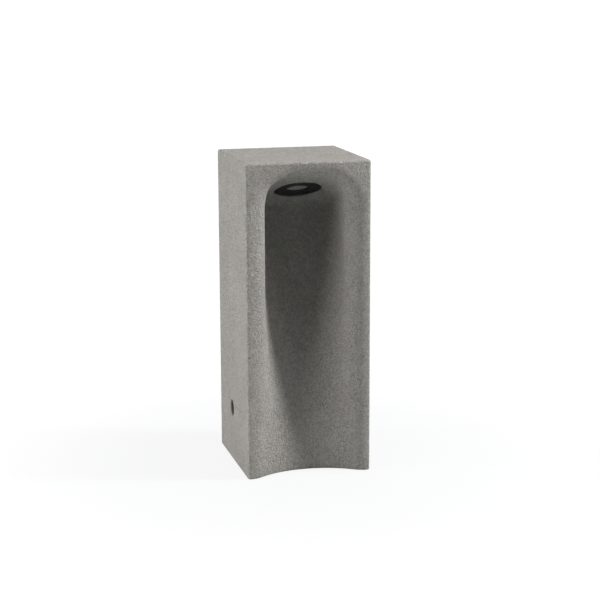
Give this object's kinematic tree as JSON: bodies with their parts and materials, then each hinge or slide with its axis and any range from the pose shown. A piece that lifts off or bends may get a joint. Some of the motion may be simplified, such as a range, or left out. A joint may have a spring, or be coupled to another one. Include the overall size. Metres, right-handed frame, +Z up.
{
  "type": "bollard light",
  "caption": "Low concrete path light: rectangular block with a scooped niche, a recessed down-facing lamp and a bracket that fixes it to the ground.",
  "frame": {"origin": "on the ground, at the middle of the block's footprint", "axes": "+Z up, -Y the front with the niche, +X to the right seen from the front"},
  "size_m": [0.12, 0.125, 0.3],
  "materials": {
    "concrete": "sand-blasted grey concrete with fine grain and small pores",
    "black_metal": "matte black powder coat",
    "frosted_glass": "frosted, slightly grey",
    "silicone": "soft matte silicone",
    "reflector": "polished",
    "phosphor": "yellow phosphor",
    "white_board": "white solder mask on aluminium",
    "thermal_pad": "grey-blue gap pad",
    "black_aluminium": "black anodised, bead blasted",
    "spring_steel": "cold rolled",
    "stainless": "stainless steel",
    "zinc_steel": "hot-dip galvanised",
    "brass": "turned",
    "gold_pin": "gold plated",
    "black_plastic": "moulded, fine spark texture",
    "grey_plastic": "extruded PVC",
    "cable_rubber": "rubber sheath",
    "earth_wire": "green and yellow sheath",
    "tin_lug": "tin plated copper",
    "green_board": "green solder mask",
    "copper_coil": "enamelled copper winding",
    "capacitor": "heat-shrink sleeve"
  },
  "bodies": {
    "base": {"base_bracket": "zinc_steel", "cable_grommet": "silicone", "inlet_gland_nut": "black_plastic", "inlet_seal": "silicone", "inlet_connector": "black_plastic", "inlet_coupling_nut": "black_plastic", "inlet_plug": "black_plastic", "inlet_lead": "cable_rubber", "driver_case": "black_plastic", "driver_cover": "black_plastic", "driver_board": "green_board", "driver_coil": "copper_coil", "driver_capacitors": "capacitor", "driver_screws": "stainless", "earth_screw": "brass", "earth_lug": "tin_lug", "earth_lead": "earth_wire", "lamp_socket": "black_plastic", "plug_pins": "gold_pin", "socket_clip": "zinc_steel", "clip_screws": "stainless", "output_lead": "cable_rubber"},
    "block": {"concrete_body": "concrete", "lamp_sleeve": "black_plastic", "cable_conduit": "grey_plastic", "side_inserts": "brass", "riser_cable": "cable_rubber", "lamp_plug": "black_plastic"},
    "lamp": {"bezel_ring": "black_metal", "lens": "frosted_glass", "lens_gasket": "silicone", "lens_seal": "silicone", "reflector": "reflector", "led_chip": "phosphor", "led_board": "white_board", "board_screws": "stainless", "thermal_pad": "thermal_pad", "lamp_housing": "black_aluminium", "retaining_springs": "spring_steel", "lead_boot": "silicone", "lamp_lead": "cable_rubber"},
    "left_screw": {"left_grub_screw": "stainless"},
    "right_screw": {"right_grub_screw": "stainless"},
    "lock_ring": {"plug_ring": "black_plastic"}
  },
  "joints": [
    {"name": "block_lift", "type": "slide", "parent": "base", "child": "block", "axis": [0, 0, 1], "range_m": [0, 0.1]},
    {"name": "lamp_withdraw", "type": "slide", "parent": "block", "child": "lamp", "axis": [0, -0.3907, -0.9205], "range_m": [0, 0.032]},
    {"name": "left_screw_out", "type": "slide", "parent": "block", "child": "left_screw", "axis": [-1, 0, 0], "range_m": [0, 0.006]},
    {"name": "right_screw_out", "type": "slide", "parent": "block", "child": "right_screw", "axis": [1, 0, 0], "range_m": [0, 0.006]},
    {"name": "lock_ring_turn", "type": "hinge", "parent": "block", "child": "lock_ring", "pos_m": [0, 0.028, 0.05], "axis": [0, 0, 1], "range_deg": [0, 45]}
  ]
}
